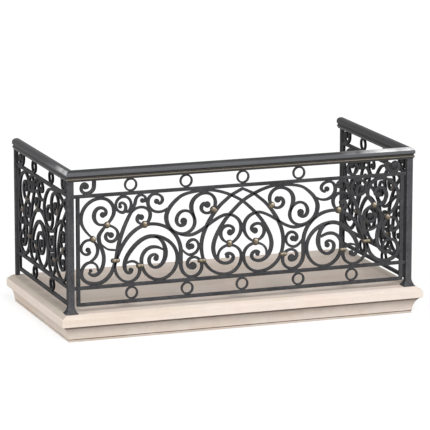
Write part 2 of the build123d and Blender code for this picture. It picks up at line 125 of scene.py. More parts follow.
LEAF = [
    (800, 505, RIGHT, 20), (824, 472, DOWN, 22), (777, 432, 190, 12), (722, 505, UP, 24),
    (796, 563, RIGHT, 16), (871, 521, 305, 10),
]
OUTER_CREST = [
    (907, 530, 165, 12), (869, 590, UP, 16), (927, 651, RIGHT, 18), (987, 590, DOWN, 14),
    (932, 532, LEFT, 20), (910, 566, UP, 20), (940, 606, RIGHT, 16), (960, 585, DOWN, 16),
]
CORNER_SWEEP = [
    (1167, 358, 40, 12), (1254, 500, UP, 22), (1106, 650, LEFT, 20), (1001, 547, DOWN, 26),
    (1054, 453, 315, 14), (1120, 363, DOWN, 28), (1081, 198, DOWN, 24), (1158, 78, RIGHT, 22),
    (1195, 105, UP, 16),
]
CORNER_PAIR = [
    (1078, 519, 170, 18), (1061, 542, UP, 20), (1106, 580, RIGHT, 20), (1155, 519, DOWN, 28),
    (1097, 451, LEFT, 14), (972, 377, DOWN, 18), (1021, 321, RIGHT, 20), (1067, 361, UP, 22),
    (1040, 389, LEFT, 16),
]
BRANCH = [(1106, 311, 225, 12), (1040, 262, 190, 12), (988, 256, LEFT, 12)]
SIDE_SHOOT = [
    (1186, 264, DOWN, 18), (1211, 237, RIGHT, 16), (1255, 283, UP, 16), (1195, 345, LEFT, 14),
    (1128, 264, DOWN, 20), (1167, 193, 325, 16), (1192, 178, 340, 12),
]
SCROLLS = {
    "arch": [OUTER_ARCH, INNER_ARCH, GREAT_ARC],
    "heart": [SHOULDER, HEART_TOP, HEART_SIDE, BUD],
    "wheel": [WHEEL_RIM, WHEEL, WHEEL_HEART],
    "crest": [INNER_CREST, STEM, LEAF, OUTER_CREST],
    "corner": [CORNER_SWEEP, CORNER_PAIR, BRANCH, SIDE_SHOOT],
}
# Forged eyes where a scroll ends: along, up, radius
EYES = {
    "arch": [(119, 143, 16), (462, 434, 26)],
    "heart": [(278, 545, 25), (98, 322, 24), (401, 240, 22)],
    "wheel": [(391, 91, 29), (873, 96, 18), (678, 169, 20)],
    "crest": [(672, 597, 20), (782, 611, 18), (792, 487, 22), (954, 577, 14)],
    "corner": [(1183, 115, 13), (1087, 525, 22), (1025, 370, 22), (1202, 271, 19)],
}
# Collars: along, up, heading of the bound bars, length across them
COLLARS = [
    (1054, 448, 330, 44), (1165, 349, 225, 42), (766, 431, 0, 48), (993, 177, 90, 66),
    (803, 125, 90, 56), (321, 127, 90, 62), (227, 503, 130, 54), (104, 238, 0, 52),
]
# Hook scroll in the upper band: in from the post, up from the rail
HOOK = [
    (161, 105, DOWN, 27), (160, 62, DOWN, 27), (104, 11, LEFT, 22), (62, 48, UP, 20),
    (88, 84, RIGHT, 20), (110, 62, DOWN, 20), (98, 48, 200, 16),
]
HOOK_EYE = (91, 56, 15)
STATIONS = [station for group in SCROLLS.values() for bar in group for station in bar]
DRAWN_HALF_WIDTH = max(x + width / 2 for x, y, heading, width in STATIONS)
DRAWN_HEIGHT = max(y + width / 2 for x, y, heading, width in STATIONS)


def length(name, description, default, least):
    return bpy.props.FloatProperty(
        name=name, description=description, default=default, min=least, unit="LENGTH")


def colour(name, description, default):
    return bpy.props.FloatVectorProperty(
        name=name, description=description, default=default, subtype="COLOR", min=0, max=1)


class BalconySizes(bpy.types.PropertyGroup):
    """Sizes of the forged iron and the cast collars that a user may change."""
    bar_spacing: length("Step along a bar", "Distance between cross-sections of a scroll", 0.006, 0.002)
    bar_depth: length("Depth of the scrolls", "Thickness of the scrolled bars, front to back", 0.020, 0.004)
    dent_depth: length("Hammer dents", "Depth of the hammer marks in the iron", 0.0012, 0.0)
    band_width: length(
        "Band width", "Length of the collars round bars that stand side by side", 0.030, 0.01)
    knob_width: length("Knob width", "Length of all other collars", 0.042, 0.01)
    collar_depth: length("Collar depth", "Thickness of a collar, front to back", 0.036, 0.01)
    collar_swell: length(
        "Collar swell", "How far the cast belly of a collar stands out past its plain band", 0.003, 0.0)
    ring_bar: length("Ring bar", "Width of the bar that a ring is bent from", 0.0145, 0.004)


class BalconyColours(bpy.types.PropertyGroup):
    """Colours of the finishes."""
    iron: colour("Iron", "Graphite paint on the railings", (0.059, 0.060, 0.064))
    # Painted shade colour: near-black laid on the narrow faces of the bars and on the handrail
    painted_shade: colour("Painted shade", "Black left on the sides of the bars", (0.014, 0.014, 0.016))
    worn_iron: colour("Worn iron", "Rubbed edges of the bars", (0.135, 0.133, 0.140))
    # On the collars this colour is laid on as the painted highlight of the belly
    bronze: colour("Bronze", "Bronze wax on the collars and under the handrail", (0.88, 0.79, 0.64))
    stone: colour("Stone", "Dressed limestone", (0.87, 0.765, 0.695))
    # Grey of a dusty floor, and painted shade on the rims and bevels of the slab's sides
    dust_and_shade_grey: colour("Weathered stone", "Stone where dust and rain lie", (0.57, 0.495, 0.42))


def look(scene):
    return scene.balcony_sizes, scene.balcony_colours


# Places and sizes read from the frame
def corners(node):
    """Lowest and highest corner of a node as arrays."""
    low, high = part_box(node)
    return np.array(low), np.array(high)


# Front posts: width, height of the flared foot and thickness of its edge
POST, FOOT_HEIGHT, FOOT_EDGE = 48 * MM, 56 * MM, 4 * MM
# How far the foot flares past the post
FOOT_SPREAD = (corners("post_front_left")[1][0] - corners("post_front_left")[0][0] - POST) / 2


def panel(side):
    """Start, direction, length and depth direction of a panel's middle plane, posts excluded."""
    low, high = corners(f"upper_rail_{side}")
    middle = (low + high) / 2
    x_axis, y_axis, _ = np.eye(3)
    if side == "front":
        return np.array([low[0], middle[1], 0.0]), x_axis, high[0] - low[0], y_axis
    return np.array([middle[0], low[1], 0.0]), y_axis, high[1] - low[1], x_axis


def stile_inset():
    """From the face of a post to the far face of its stile."""
    return corners("bottom_rail_front")[0][0] - corners("upper_rail_front")[0][0]


def put(side, along, up, depth):
    """Points of a panel from distances along it, heights and depths off its middle plane."""
    start, direction, _, normal = panel(side)
    return (start + np.multiply.outer(along, direction) + np.multiply.outer(up, [0, 0, 1.0])
            + np.multiply.outer(depth, normal))


def trace(side, origin, flip, flat, depth):
    """Points of a panel from points of the drawing, mirrored about its origin if flip is -1."""
    return put(side, origin[0] + flip * flat[..., 0], origin[1] + flat[..., 1], depth)


class Shell:
    """Closed surfaces gathered into one mesh, with two values at each vertex: wear, which is 1 on
    rubbed edges, and face, which is 1 on the broad faces of a bar and 0 on its sides."""

    def __init__(self):
        self.points, self.faces, self.values, self.count = [], [], [], 0

    def add(self, grid, wear=0.0, face=1.0, round_rows=False):
        """A grid of rows by columns whose columns wrap round. Rows wrap too for a ring; otherwise
        the first and last rows are closed by a fan to their middle. Faces are turned outwards by
        the sign of the volume, the sum over triangles of a . (b x c) / 6."""
        rows, columns = grid.shape[:2]
        points = grid.reshape(-1, 3)
        values = np.stack([np.broadcast_to(value, (rows, columns)).ravel() for value in (wear, face)], -1)
        row = np.arange(rows if round_rows else rows - 1)[:, None]
        column = np.arange(columns)[None, :]
        after, beyond = (row + 1) % rows * columns, (column + 1) % columns
        quads = np.stack([row * columns + column, row * columns + beyond, after + beyond, after + column], -1)
        quads = quads.reshape(-1, 4)
        fans = np.zeros((0, 3), int)
        if not round_rows:
            points = np.vstack([points, grid[0].mean(0), grid[-1].mean(0)])
            values = np.vstack([values, values[:columns].mean(0), values[-columns:].mean(0)])
            ring, end, last = np.arange(columns), rows * columns, (rows - 1) * columns
            following = (ring + 1) % columns
            near = np.stack([following, ring, np.full(columns, end)], -1)
            far = np.stack([last + ring, last + following, np.full(columns, end + 1)], -1)
            fans = np.vstack([near, far])
        halves = np.vstack([quads[:, [0, 1, 2]], quads[:, [0, 2, 3]], fans])
        a, b, c = (points[halves[:, i]] for i in range(3))
        if np.einsum("ij,ij->i", a, np.cross(b, c)).sum() < 0:
            quads, fans = quads[:, ::-1], fans[:, ::-1]
        self.points.append(points)
        self.values.append(values)
        self.faces += (quads + self.count).tolist() + (fans + self.count).tolist()
        self.count += len(points)

    def piece(self, name, nodes, slot, finish, sharp=35.0, weighted=False):
        """The object that stands for the nodes, in its material, riding on the fixed body."""
        mesh = bpy.data.meshes.new(name)
        mesh.from_pydata(np.vstack(self.points).tolist(), [], self.faces)
        for label, value in zip(("wear", "face"), np.vstack(self.values).T):
            data = mesh.attributes.new(label, "FLOAT", "POINT").data
            data.foreach_set("value", np.ascontiguousarray(value))
        mesh.polygons.foreach_set("use_smooth", np.ones(len(mesh.polygons), bool))
        mesh.set_sharp_from_angle(angle=math.radians(sharp))
        mesh.materials.append(finish)
        thing = bpy.data.objects.new(name, mesh)
        bpy.context.scene.collection.objects.link(thing)
        if weighted:
            thing.modifiers.new("Weighted normals", "WEIGHTED_NORMAL").keep_sharp = True
        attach(thing, "root")
        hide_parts(*nodes)


def rounded_section(count, squareness):
    """Unit section of a bar: a superellipse, cos and sin of the angle each raised to 2 / squareness."""
    angle = (np.arange(count) + 0.5) * 2 * np.pi / count
    c, s = np.cos(angle), np.sin(angle)
    power = 2 / squareness
    across, deep = np.sign(c) * np.abs(c) ** power, np.sign(s) * np.abs(s) ** power
    corner = np.clip((np.hypot(across, deep) - 1.05) / 0.25, 0, 1)
    face = np.clip((np.abs(deep) - 0.62) / 0.3, 0, 1)
    return across, deep, corner, face


def unit(heading):
    return np.stack([np.cos(heading), np.sin(heading)], -1)


def bar_path(stations, stretch, spacing):
    """Points, sideways directions and widths along a scroll. Between two stations the line is a
    cubic Bezier whose handles reach for the corner of the two tangents by the share of a quarter
    ellipse, 4/3 tan(turn/4) / tan(turn/2); it is then stepped evenly by its length."""
    drawn = np.array(stations, float)
    spot = drawn[:, :2] * stretch * MM
    slope = unit(np.radians(drawn[:, 2])) * stretch
    slope /= np.linalg.norm(slope, axis=1)[:, None]
    a, b, u, v = spot[:-1], spot[1:], slope[:-1], slope[1:]
    d = b - a
    far = np.linalg.norm(d, axis=1)
    cross = u[:, 0] * v[:, 1] - u[:, 1] * v[:, 0]
    turn = np.abs(np.arctan2(cross, (u * v).sum(1)))
    with np.errstate(divide="ignore", invalid="ignore"):
        share = 4 / 3 * np.tan(turn / 4) / np.tan(turn / 2)
        out = share * (d[:, 0] * v[:, 1] - d[:, 1] * v[:, 0]) / cross
        back = share * (u[:, 0] * d[:, 1] - u[:, 1] * d[:, 0]) / cross
        straight = ~((turn > 0.02) & (out > 0) & (back > 0))
    out, back = np.where(straight, 0.4 * far, out), np.where(straight, 0.4 * far, back)
    p1, p2 = a + u * out[:, None], b - v * back[:, None]
    t = np.linspace(0, 1, 41)[:-1][None, :, None]
    s = 1 - t
    line = s**3 * a[:, None] + 3 * s * s * t * p1[:, None] + 3 * s * t * t * p2[:, None] + t**3 * b[:, None]
    line = np.vstack([line.reshape(-1, 2), b[-1:]])
    width = drawn[:-1, 3:] * s[..., 0] + drawn[1:, 3:] * t[..., 0]
    width = np.append(width.ravel(), drawn[-1, 3]) * MM
    length = np.append(0, np.cumsum(np.linalg.norm(np.diff(line, axis=0), axis=1)))
    steps = np.linspace(0, length[-1], max(6, int(length[-1] / spacing) + 1))
    line = np.stack([np.interp(steps, length, line[:, i]) for i in range(2)], -1)
    width = eased(np.interp(steps, length, width)[:, None])[:, 0]
    line = eased(line)
    forward = np.gradient(line, axis=0)
    forward /= np.linalg.norm(forward, axis=1)[:, None]
    return line, np.stack([-forward[:, 1], forward[:, 0]], -1), width


def eased(values):
    """Weighted mean of each value and its four neighbours, with the ends carried on in line."""
    ends = 2 * values[[0, 0, -1, -1]] - values[[2, 1, -2, -3]]
    padded = np.vstack([ends[:2], values, ends[2:]])
    weights = (0.06, 0.24, 0.40, 0.24, 0.06)
    return sum(weight * padded[i:i + len(values)] for i, weight in enumerate(weights))


def add_bar(shell, side, path, origin, flip, depth):
    """A forged bar: the rounded section carried along its path in the plane of a panel. Both ends
    draw in over their last few millimetres, so that they are rounded off."""
    line, sideways, width = path
    across, deep, corner, face = rounded_section(16, 7.0)
    reach = np.linspace(0, 1, len(line))
    end = np.minimum(reach, 1 - reach) * (len(line) - 1)
    close = np.sqrt(np.clip((end + 0.35) / 1.6, 0.2, 1))
    half, thick = (width + SPREAD) / 2 * close, depth / 2 * (1 - (1 - close) * 0.6)
    flat = line[:, None] + sideways[:, None] * (half[:, None] * across[None])[..., None]
    shell.add(trace(side, origin, flip, flat, thick[:, None] * deep[None]), corner, face * PANEL_LIGHT[side])


def add_eye(shell, side, spot, radius, origin, flip, stretch, depth):
    """A forged eye: a domed disc, the superellipse r^4 + z^4 = 1 turned about its middle."""
    angle = np.linspace(0, 2 * np.pi, 28, endpoint=False)
    lift = np.linspace(-1, 1, 11)[1:-1] * np.pi / 2
    out, up = np.cos(lift) ** 0.5, np.sign(np.sin(lift)) * np.abs(np.sin(lift)) ** 0.5
    flat = np.array(spot) * stretch * MM + radius * MM * out[:, None, None] * unit(angle)
    face = PANEL_LIGHT[side] * np.clip((np.abs(up) - 0.5) / 0.3, 0, 1)[:, None]
    shell.add(trace(side, origin, flip, flat, depth * 0.56 * up[:, None]), 0.3, face)


def add_ring(shell, side, middle, radius, width, depth):
    """A ring: the rounded section carried round a circle."""
    turn = np.linspace(0, 2 * np.pi, 56, endpoint=False)
    across, deep, corner, face = rounded_section(16, 6.0)
    out = radius - width / 2 + width / 2 * across
    x = middle[0] + out[None] * np.cos(turn)[:, None]
    y = middle[1] + out[None] * np.sin(turn)[:, None]
    z = depth / 2 * deep[None] * np.ones_like(x)
    shell.add(put(side, x, y, z), corner, face * PANEL_LIGHT[side], round_rows=True)


def add_flat_bar(shell, low, high, side, squareness=9.0):
    """A straight bar in its box: the rounded section carried along its longest edge. Its broad
    faces are those that lie in the plane of the panel."""
    broad = 1 if side == "front" else 0
    size = high - low
    run = int(np.argmax(size))
    one, two = [i for i in range(3) if i != run]
    across, deep, corner, _ = rounded_section(24, squareness)
    step, bevel = 0.05, 0.0008
    inner = np.arange(step, size[run] - step / 2, step)
    stations = np.concatenate([[0, bevel], inner, [size[run] - bevel, size[run]]])
    shrink = np.ones(len(stations))
    shrink[[0, -1]] = 0.94
    grid = np.zeros((len(stations), 24, 3))
    grid[..., run] = low[run] + stations[:, None]
    grid[..., one] = (low[one] + high[one]) / 2 + size[one] / 2 * across[None] * shrink[:, None]
    grid[..., two] = (low[two] + high[two]) / 2 + size[two] / 2 * deep[None] * shrink[:, None]
    # The face value is 0 on the narrow faces, which the iron finish paints in shade
    facing = np.abs(across if broad == one else deep)
    shell.add(grid, corner, PANEL_LIGHT[side] * np.clip((facing - 0.9) / 0.08, 0, 1))


def add_collar(shell, side, spot, heading, across, origin, flip, stretch, sizes):
    """A cast collar: a rounded section carried along the bound bars for t from -1 to 1, while its
    girth swells like a ball, by (1 - |0.92 t|^2.2)^(1/2.2). A collar round upright bars is a barrel
    with a waist between its two lobes, 1 - 0.3 exp(-(u/0.22)^2) across it."""
    u, v, _, _ = rounded_section(32, 2.3)
    t = np.linspace(-1, 1, 25)
    girth = (1 - np.abs(0.92 * t) ** 2.2) ** (1 / 2.2)
    drawn = unit(math.radians(heading)) * stretch
    stretched = np.arctan2(drawn[1], drawn[0])
    forward, sideways = unit(stretched), unit(stretched + np.pi / 2)
    barrel = heading == UP
    length = sizes.collar_swell + (sizes.band_width if barrel else sizes.knob_width)
    widest = across * MM / 2 + sizes.collar_swell
    reach = widest - sizes.collar_depth / 2 * (1 - girth) if barrel else widest * (0.25 + 0.75 * girth)
    waist = 1 - 0.3 * np.exp(-(u / 0.22) ** 2) * barrel
    flat = (np.array(spot) * stretch * MM + (t * length / 2)[:, None, None] * forward
            + (reach[:, None] * u[None])[..., None] * sideways)
    deep = sizes.collar_depth / 2 * girth[:, None] * (v * waist)[None]
    # The belly, where the collar finish paints its highlight and half shade
    lit_belly = np.clip((girth - 0.72) / 0.25, 0, 1)[:, None] * np.clip((np.abs(v) - 0.5) / 0.45, 0, 1)[None]
    shell.add(trace(side, origin, flip, flat, deep), lit_belly)


def pattern_place(side):
    """Where the pattern of a panel starts, along and up, how it is stretched along and up from the
    drawing, and its directions: both ways from the middle of the front, one way at a side."""
    inset = stile_inset()
    length = panel(side)[2]
    bottom = corners(f"lower_rail_{side}")[1][2]
    top = corners(f"upper_rail_{side}")[0][2]
    if side == "front":
        start, half, flips = length / 2, length / 2 - inset, (1, -1)
    else:
        start, half, flips = inset, length - 2 * inset, (1,)
    stretch = np.array([half / MM / DRAWN_HALF_WIDTH, (top - bottom) / MM / DRAWN_HEIGHT])
    return (start, bottom), stretch, flips


def forge(shell, node, finish, flat=True):
    """The shell as the piece for an iron node; straight bars have flat faces and crisp edges."""
    shell.piece(f"forged_{node}", [node], "iron", finish, 30 if flat else 50, flat)


def scroll_piece(names, side, node, finish, sizes):
    """The named groups of scrolls of one panel, with their eyes."""
    shell = Shell()
    origin, stretch, flips = pattern_place(side)
    for name in names:
        for stations in SCROLLS[name]:
            path = bar_path(stations, stretch, sizes.bar_spacing)
            for flip in flips:
                add_bar(shell, side, path, origin, flip, sizes.bar_depth)
        for x, y, radius in EYES[name]:
            for flip in flips:
                add_eye(shell, side, (x, y), radius, origin, flip, stretch, sizes.bar_depth)
    forge(shell, node, finish, flat=False)


# Shader maths
class Wire:
    """A shader socket that can stand in a sum, a difference, a product or a share."""

    def __init__(self, tree, socket):
        self.tree, self.socket = tree, socket

    def maths(self, operation, *values):
        made = self.tree.nodes.new("ShaderNodeMath")
        made.operation = operation
        for socket, value in zip(made.inputs, values):
            plug(self.tree, socket, value)
        return Wire(self.tree, made.outputs[0])

    def __add__(self, other):
        return self.maths("ADD", self, other)

    def __radd__(self, other):
        return self.maths("ADD", other, self)

    def __sub__(self, other):
        return self.maths("SUBTRACT", self, other)

    def __rsub__(self, other):
        return self.maths("SUBTRACT", other, self)

    def __mul__(self, other):
        return self.maths("MULTIPLY", self, other)

    def __rmul__(self, other):
        return self.maths("MULTIPLY", other, self)

    def __truediv__(self, other):
        return self.maths("DIVIDE", self, other)

    def clamped(self):
        made = self.maths("MULTIPLY", self, 1.0)
        made.socket.node.use_clamp = True
        return made

    def between(self, low, high):
        """0 below low, 1 above high, and even between."""
        return ((self - low) / (high - low)).clamped()


def plug(tree, socket, value):
    if isinstance(value, Wire):
        tree.links.new(value.socket, socket)
    elif hasattr(value, "__len__") and socket.type == "RGBA":
        socket.default_value = (*value[:3], 1.0)
    else:
        socket.default_value = value


class Finish:
    """A material with one main shader, made of wires."""

    def __init__(self, name):
        self.material = bpy.data.materials.new(name)
        self.material.use_nodes = True
        self.tree = self.material.node_tree
        self.tree.nodes.clear()
        self.shader = self.tree.nodes.new("ShaderNodeBsdfPrincipled")
        self.output = self.tree.nodes.new("ShaderNodeOutputMaterial")
        self.tree.links.new(self.shader.outputs[0], self.output.inputs["Surface"])

    def node(self, kind, settings=None, sockets=None, output=0):
        """Any other node, from its type, its settings and the values or wires of its sockets."""
        made = self.tree.nodes.new("ShaderNode" + kind)
        for name, value in (settings or {}).items():
            setattr(made, name, value)
        for name, value in (sockets or {}).items():
            plug(self.tree, made.inputs[name], value)
        return Wire(self.tree, made.outputs[output])

    def place(self, scale=(1, 1, 1)):
        spot = self.node("TexCoord", output="Object")
        return self.node("Mapping", sockets={"Vector": spot, "Scale": scale})

    def noise(self, scale, detail=3.0, rough=0.55, stretch=(1, 1, 1)):
        return self.node("TexNoise", sockets={"Vector": self.place(stretch), "Scale": scale, "Detail": detail,
                                              "Roughness": rough})

    def mix(self, share, one, two):
        return self.node("Mix", {"data_type": "RGBA"}, {0: share, 6: one, 7: two}, 2)

    def value(self, name):
        """The wear or the face value of the surface."""
        return self.node("Attribute", {"attribute_name": name}, output="Fac")

    def facing(self, axis):
        """How far the surface looks along x, y or z, for axis 0, 1 or 2."""
        return self.node("SeparateXYZ", sockets={0: self.node("NewGeometry", output="Normal")}, output=axis)

    def bump(self, height, distance, strength):
        return self.node("Bump", sockets={"Height": height, "Distance": distance, "Strength": strength})

    def set(self, **sockets):
        for name, value in sockets.items():
            plug(self.tree, self.shader.inputs[name.replace("_", " ")], value)
        return self.material


def tint(colour, *shares):
    """A colour times one share, or times a share each for red, green and blue."""
    return [part * share for part, share in zip(colour, shares * 3)]


def iron_finish(sizes, colours, name, tone=1.0):
    """Graphite paint over hammered iron, with edges rubbed pale. Where the face value is low, on the
    narrow faces of the bars and on the panels that look sideways, the colour goes to near-black as painted
    shade."""
    f = Finish(name)
    dents = f.noise(42.0, 1.5, 0.4)
    pits = f.noise(420.0, 3.0, 0.6)
    cloud = f.noise(5.0, 4.0, 0.6)
    wear = f.value("wear")
    face = f.value("face")
    graphite = f.mix(cloud.between(0.3, 0.75), tint(colours.iron, tone * 0.8),
                     tint(colours.iron, tone * 1.2))
    graphite = f.mix(dents.between(0.5, 0.75) * 0.3, graphite, (0.085, 0.070, 0.058))
    # Painted shade: near-black where the face value is low
    shade = f.mix((face * 0.85 + cloud * 0.3 - 0.15).clamped(), colours.painted_shade, graphite)
    rubbed = (wear * (cloud * 0.7 + dents * 0.8)).between(0.35, 0.95)
    colour = f.mix(rubbed * 0.7, shade, colours.worn_iron)
    height = dents + pits * 0.12
    return f.set(Base_Color=colour, Roughness=0.5 + 0.22 * cloud, Specular_IOR_Level=0.07,
                 Normal=f.bump(height, sizes.dent_depth, 0.7))


def handrail_finish(sizes, colours):
    """Graphite cap over bronze-waxed mouldings. The wear value is 1 on the bead. The face value is 1
    on the front length, near 0 on the side lengths, which are painted in shade, and above 1 where a pale
    reflection is painted."""
    f = Finish("Waxed handrail")
    dents = f.noise(24.0, 2.0, 0.45)
    scuffs = f.noise(90.0, 4.0, 0.65)
    cloud = f.noise(3.0, 4.0, 0.6)
    wear = f.value("wear")
    face = f.value("face")
    cap = f.mix(cloud.between(0.3, 0.7), tint(colours.iron, 0.9), tint(colours.iron, 1.4))
    upward = f.facing(2)
    # Painted sheen: the cap is lighter where it looks sideways or down, and painted shade darkens its top
    cap = f.mix(upward.between(0.0, 0.5), tint(colours.iron, 2.2), cap)
    cap = f.mix(upward.between(0.6, 0.95) * 0.65, cap, colours.painted_shade)
    # Painted shade in near-black where the face value is low
    cap = f.mix(face, tint(colours.painted_shade, 1.2), cap)
    # Painted reflection, pale, where the face value passes 1
    painted_reflection = face.between(1.0, 1.9) * cloud.between(0.3, 0.6)
    cap = f.mix(painted_reflection, cap, (0.80, 0.79, 0.80))
    wax = f.mix(scuffs.between(0.35, 0.7), (0.018, 0.015, 0.013), (0.048, 0.039, 0.031))
    # Painted shade on the waxed mouldings where the face value is low
    wax = f.mix(face, colours.painted_shade, wax)
    low = wear.between(0.05, 0.35)
    bead = wear.between(0.6, 0.95)
    colour = f.mix(low, cap, wax)
    # The bronze of the bead shows only where the face value passes a half, so on the side lengths it is
    # hidden in painted shade
    colour = f.mix(bead * (face - 0.5).clamped(), colour, tint(colours.bronze, 0.34))
    return f.set(Base_Color=colour, Roughness=0.34 + 0.22 * scuffs - 0.06 * bead, Metallic=0.3 + bead * 0.2,
                 Specular_IOR_Level=0.18, Normal=f.bump(dents + scuffs * 0.15, sizes.dent_depth * 0.7, 0.5))


def collar_finish(colours):
    """Bronze with a painted highlight on the belly where it looks up and to the right, a painted half
    shade in greenish brown round it, and dark brown patination on the rims, laid on as painted shade. The
    wear value is 1 on the belly."""
    f = Finish("Bronze collars")
    cloud = f.noise(40.0, 3.0, 0.6)
    grain = f.noise(500.0, 2.0, 0.6)
    across, up = f.facing(0), f.facing(2)
    wear = f.value("wear")
    # Painted light: the side that looks up and to the right takes the highlight, the rest the shade
    lit_side = 0.5 * across + 0.75 * up
    half_lit = (wear * lit_side.between(-0.5, 0.2) + 0.4 * cloud).between(0.3, 0.85)
    lit_belly = (wear * lit_side.between(-0.05, 0.5) + 0.3 * cloud).between(0.4, 0.85)
    patina_and_shade = f.mix(cloud.between(0.35, 0.65), (0.040, 0.028, 0.014), (0.060, 0.044, 0.026))
    colour = f.mix(half_lit, patina_and_shade, (0.20, 0.155, 0.095))
    colour = f.mix(lit_belly, colour, colours.bronze)
    return f.set(Base_Color=colour, Roughness=0.42 - 0.2 * lit_belly + 0.1 * cloud, Metallic=0.1 + lit_belly * 0.2,
                 Normal=f.bump(cloud + grain * 0.2, 0.0008, 0.6))


def stone_finish(colours):
    """Dressed limestone: warm and grey clouds, bedding streaks along the front, upright tool
    marks, fine grain and pits, a dusty grey where the face value is 1, which on the side rims is painted
    shade, and dark brown where the wear value is 1, on the joint stains and as painted shade under the slab."""
    f = Finish("Dressed stone")
    cloud = f.noise(3.5, 5.0, 0.6)
    blotch = f.noise(14.0, 4.0, 0.65)
    grain = f.noise(260.0, 4.0, 0.7)
    # The streaks of the bedding follow each face: along x at the front and on top, along y at the sides
    sideways = f.facing(0)
    side = (sideways * sideways).between(0.04, 0.16)
    streaks = f.noise(1.7, 5.0, 0.55, (0.8, 5.0, 5.0))
    bedding = streaks + (f.noise(1.7, 5.0, 0.55, (5.0, 0.8, 5.0)) - streaks) * side
    tooling = f.noise(90.0, 2.0, 0.5, (1.0, 1.0, 0.07))
    pits = f.node("TexVoronoi", {"feature": "F1"}, {"Vector": f.place(), "Scale": 70.0})
    wear = f.value("wear")
    stone = colours.stone
    warm = f.mix(cloud.between(0.35, 0.65), tint(stone, 0.99, 1.01, 0.99),
                 tint(stone, 1.02, 0.965, 0.935))
    pale = f.mix(blotch.between(0.45, 0.8) * 0.5, warm, tint(stone, 0.90, 0.90, 0.91))
    pale = f.mix(bedding.between(0.50, 0.65) * 0.7, pale, tint(stone, 0.90, 0.86, 0.78))
    # Dusty grey, and painted shade on the side rims, where the face value is high
    dust_and_shade = f.value("face")
    dust_and_shade_share = (dust_and_shade * (0.8 + 0.5 * bedding.between(0.34, 0.60))).clamped()
    colour = f.mix(dust_and_shade_share, pale, colours.dust_and_shade_grey)
    # Dark brown for the joint stains, and painted shade under the slab
    colour = f.mix((wear * (0.75 + 0.5 * blotch)).clamped(), colour, (0.16, 0.115, 0.085))
    colour = f.mix(grain.between(0.55, 0.85) * 0.3, colour, tint(stone, 0.7))
    colour = f.mix(tooling.between(0.5, 0.7) * 0.12, colour, tint(stone, 0.75))
    height = grain * 0.5 + blotch * 0.8 + pits.between(0.05, 0.22) * 0.5 + tooling * 0.4
    return f.set(Base_Color=colour, Roughness=0.82 + 0.12 * grain, Normal=f.bump(height, 0.0016, 0.45))


# Stone
def rounded(points, radius, count=4):
    """Outline with each inner corner swapped for a quadratic curve that starts and ends radius away."""
    points = [np.array(p, float) for p in points]
    made = [points[0]]
    for before, corner, after in zip(points, points[1:], points[2:]):
        room = min(radius, np.linalg.norm(corner - before) / 2, np.linalg.norm(after - corner) / 2)
        a = corner + (before - corner) / np.linalg.norm(before - corner) * room
        b = corner + (after - corner) / np.linalg.norm(after - corner) * room
        t = np.linspace(0, 1, count + 1)[:, None]
        made += list((1 - t) ** 2 * a + 2 * (1 - t) * t * corner + t**2 * b)
    return np.array(made + [points[-1]])


def quarter(centre, out, up, count=12, fullness=2.0):
    """Quarter of a superellipse, from straight out of its centre to straight above it."""
    angle = np.linspace(0, np.pi / 2, count + 1)
    power = 2 / fullness
    return [(centre[0] + out * math.cos(a) ** power, centre[1] + up * math.sin(a) ** power) for a in angle]


def stone_loop(x, y, count=36, ease=6 * MM):
    """Loop round a stone layer at each height: three sides, with corners eased by a few
    millimetres, and the back in the plane of the wall. The last array is 1 along the front."""
    spread = np.linspace(0.004, 1 - 0.004, count)[None]
    turn = np.linspace(0, np.pi / 2, 5)[None]
    left_x, left_y = np.repeat(-x, count, 1), -spread * (y - ease)
    corner_x, corner_y = -x + ease - ease * np.cos(turn), -y + ease - ease * np.sin(turn)
    front_x, front_y = (2 * spread - 1) * (x - ease), np.repeat(-y, count, 1)
    loop_x = np.hstack([-x, left_x, corner_x, front_x, -corner_x[:, ::-1], -left_x[:, ::-1], x])
    loop_y = np.hstack([0 * x, left_y, corner_y, front_y, corner_y[:, ::-1], left_y[:, ::-1], 0 * x])
    return loop_x, loop_y, (loop_y < ease - y).astype(float)


def post_faces():
    """Half the width over the front posts and their reach from the wall, without the feet."""
    return corners("post_front_right")[1][0] - FOOT_SPREAD, -corners("post_front_left")[0][1] - FOOT_SPREAD


def stone_piece(name, node, edge, finish, wear, soft, dust_and_shade=(0.0, 0.0)):
    """A layer of stone from its edge profile, given from the top down as lip past the posts and
    height. The soft value darkens the front fully and the other sides by a quarter; on the cove it is painted
    shade under the slab.
    The face value holds the dusty grey and painted shade, given for the front and for the sides."""
    half, reach = post_faces()
    x, y, front = stone_loop(half + edge[:, :1], reach + edge[:, :1])
    z = np.broadcast_to(edge[:, 1:], x.shape)
    shell = Shell()
    shell.add(np.stack([x, y, z], -1), wear[:, None] + np.reshape(soft, (-1, 1)) * (0.25 + 0.75 * front),
              np.where(front > 0, np.reshape(dust_and_shade[0], (-1, 1)), np.reshape(dust_and_shade[1], (-1, 1))))
    shell.piece(name, [node], "stone", finish, sharp=40, weighted=True)


